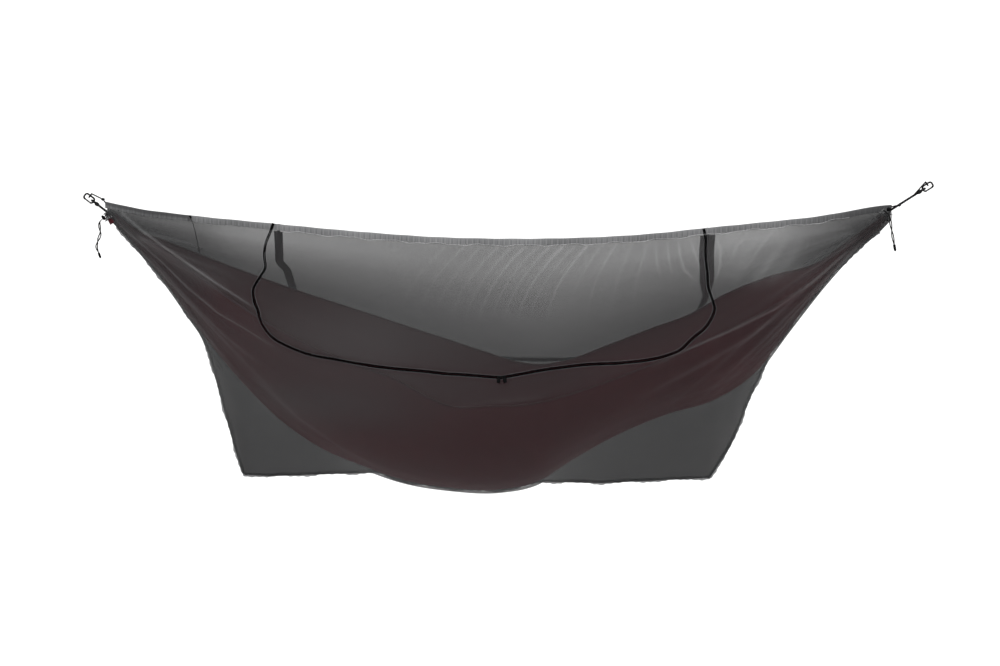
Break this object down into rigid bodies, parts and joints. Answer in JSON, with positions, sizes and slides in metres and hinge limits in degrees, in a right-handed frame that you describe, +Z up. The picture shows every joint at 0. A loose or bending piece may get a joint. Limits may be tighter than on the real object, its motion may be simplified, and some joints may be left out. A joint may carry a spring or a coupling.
{
  "type": "hammock with mosquito net",
  "caption": "Gathered-end hammock hung inside a closed mosquito net, with zipped net doors, drawn-in ends and carabiners to hang it by.",
  "frame": {"origin": "the left carabiner's hang point: the middle of the flat inside its outer bow", "axes": "+X along the ridge towards the other hang point, +Z up, -Y towards the front door"},
  "size_m": [2.7837, 0.9313, 1.0306],
  "materials": {
    "bed_cloth": "dark red woven nylon",
    "bed_hem": "rolled edge of the same cloth",
    "net": "see-through dark grey net",
    "net_tape": "dark grey tape and doubled net",
    "zip": "black zip tape with coil teeth",
    "slider": "black painted",
    "pull": "black",
    "cord": "black braid",
    "carabiner": "black coated alloy",
    "steel": "plain wire",
    "lock": "black"
  },
  "bodies": {
    "hammock": {"hammock_bed": "bed_cloth", "near_edge_hem": "bed_hem", "far_edge_hem": "bed_hem", "net_front_panel": "net", "net_back_panel": "net", "ridge_sleeve": "net_tape", "bottom_hem": "net_tape", "left_end_seam": "net_tape", "right_end_seam": "net_tape", "front_zip_frame_side": "zip", "back_zip_frame_side": "zip", "ridgeline": "cord", "left_gather": "bed_cloth", "left_net_collar": "net_tape", "left_drawcord": "cord", "left_suspension_rope": "cord", "left_tail_strand_1": "cord", "left_tail_strand_2": "cord", "left_cord_end": "lock", "right_gather": "bed_cloth", "right_net_collar": "net_tape", "right_drawcord": "cord", "right_suspension_rope": "cord", "right_tail_strand_1": "cord", "right_tail_strand_2": "cord", "right_cord_end": "lock"},
    "front_door": {"front_door": "net", "front_zip_door_side": "zip"},
    "back_door": {"back_door": "net", "back_zip_door_side": "zip"},
    "front_left_slider": {"front_left_slider": "slider"},
    "front_left_pull": {"front_left_pull": "pull"},
    "front_right_slider": {"front_right_slider": "slider"},
    "front_right_pull": {"front_right_pull": "pull"},
    "back_left_slider": {"back_left_slider": "slider"},
    "back_left_pull": {"back_left_pull": "pull"},
    "back_right_slider": {"back_right_slider": "slider"},
    "back_right_pull": {"back_right_pull": "pull"},
    "left_carabiner": {"left_carabiner_body": "carabiner", "left_gate_pin": "steel", "left_gate_spring": "steel"},
    "left_gate": {"left_carabiner_gate": "carabiner"},
    "left_lock": {"left_cord_lock": "lock", "left_lock_spring": "steel"},
    "left_plunger": {"left_lock_plunger": "lock"},
    "right_carabiner": {"right_carabiner_body": "carabiner", "right_gate_pin": "steel", "right_gate_spring": "steel"},
    "right_gate": {"right_carabiner_gate": "carabiner"},
    "right_lock": {"right_cord_lock": "lock", "right_lock_spring": "steel"},
    "right_plunger": {"right_lock_plunger": "lock"}
  },
  "joints": [
    {"name": "front_door_fold", "type": "hinge", "parent": "hammock", "child": "front_door", "pos_m": [1.33, -0.09, -0.18], "axis": [-1, 0, 0], "range_deg": [0, 135]},
    {"name": "back_door_fold", "type": "hinge", "parent": "hammock", "child": "back_door", "pos_m": [1.33, 0.118, -0.18], "axis": [1, 0, 0], "range_deg": [0, 135]},
    {"name": "front_left_slider_run", "type": "slide", "parent": "front_door", "child": "front_left_slider", "axis": [-0.9911, 0.1186, 0.0601], "range_m": [0, 0.115]},
    {"name": "front_left_pull_swing", "type": "hinge", "parent": "front_left_slider", "child": "front_left_pull", "pos_m": [1.35487, -0.3945, -0.54137], "axis": [-0.9911, 0.1186, 0.0601], "range_deg": [0, 170]},
    {"name": "front_right_slider_run", "type": "slide", "parent": "front_door", "child": "front_right_slider", "axis": [0.979, 0.1188, 0.1659], "range_m": [0, 0.1]},
    {"name": "front_right_pull_swing", "type": "hinge", "parent": "front_right_slider", "child": "front_right_pull", "pos_m": [1.36859, -0.3945, -0.54064], "axis": [-0.979, -0.1188, -0.1659], "range_deg": [0, 170]},
    {"name": "back_left_slider_run", "type": "slide", "parent": "back_door", "child": "back_left_slider", "axis": [-0.9993, -0.0384, 0], "range_m": [0, 0.075]},
    {"name": "back_left_pull_swing", "type": "hinge", "parent": "back_left_slider", "child": "back_left_pull", "pos_m": [1.35483, 0.46676, -0.60021], "axis": [0.9993, 0.0384, 0], "range_deg": [0, 170]},
    {"name": "back_right_slider_run", "type": "slide", "parent": "back_door", "child": "back_right_slider", "axis": [0.9986, -0.0526, 0], "range_m": [0, 0.08]},
    {"name": "back_right_pull_swing", "type": "hinge", "parent": "back_right_slider", "child": "back_right_pull", "pos_m": [1.36925, 0.46665, -0.60021], "axis": [0.9986, -0.0526, 0], "range_deg": [0, 170]},
    {"name": "left_carabiner_sway", "type": "hinge", "parent": "hammock", "child": "left_carabiner", "pos_m": [0.02573, 0, -0.01985], "axis": [0, 1, 0], "range_deg": [-4, 4]},
    {"name": "left_gate_open", "type": "hinge", "parent": "left_carabiner", "child": "left_gate", "pos_m": [0.0136, 0, -0.02249], "axis": [0, 1, 0], "range_deg": [0, 25], "stiffness_Nm_per_rad": 0.05, "springref_deg": -20.05},
    {"name": "right_carabiner_sway", "type": "hinge", "parent": "hammock", "child": "right_carabiner", "pos_m": [2.74165, 0, 0.01945], "axis": [0, -1, 0], "range_deg": [-4, 4]},
    {"name": "right_gate_open", "type": "hinge", "parent": "right_carabiner", "child": "right_gate", "pos_m": [2.75351, 0, 0.01577], "axis": [0, -1, 0], "range_deg": [0, 25], "stiffness_Nm_per_rad": 0.05, "springref_deg": -20.05},
    {"name": "left_lock_run", "type": "slide", "parent": "hammock", "child": "left_lock", "axis": [-0.7502, 0, -0.6612], "range_m": [0, 0.008]},
    {"name": "left_plunger_press", "type": "slide", "parent": "left_lock", "child": "left_plunger", "axis": [0.6612, 0, -0.7502], "range_m": [0, 0.0025], "stiffness_N_per_m": 300, "springref_m": -0.003, "deforming": ["left_lock_spring"]},
    {"name": "right_lock_run", "type": "slide", "parent": "hammock", "child": "right_lock", "axis": [0.1, -0.03, -0.9945], "range_m": [0, 0.008]},
    {"name": "right_plunger_press", "type": "slide", "parent": "right_lock", "child": "right_plunger", "axis": [-0.995, 0, -0.1], "range_m": [0, 0.0025], "stiffness_N_per_m": 300, "springref_m": -0.003, "deforming": ["right_lock_spring"]}
  ]
}
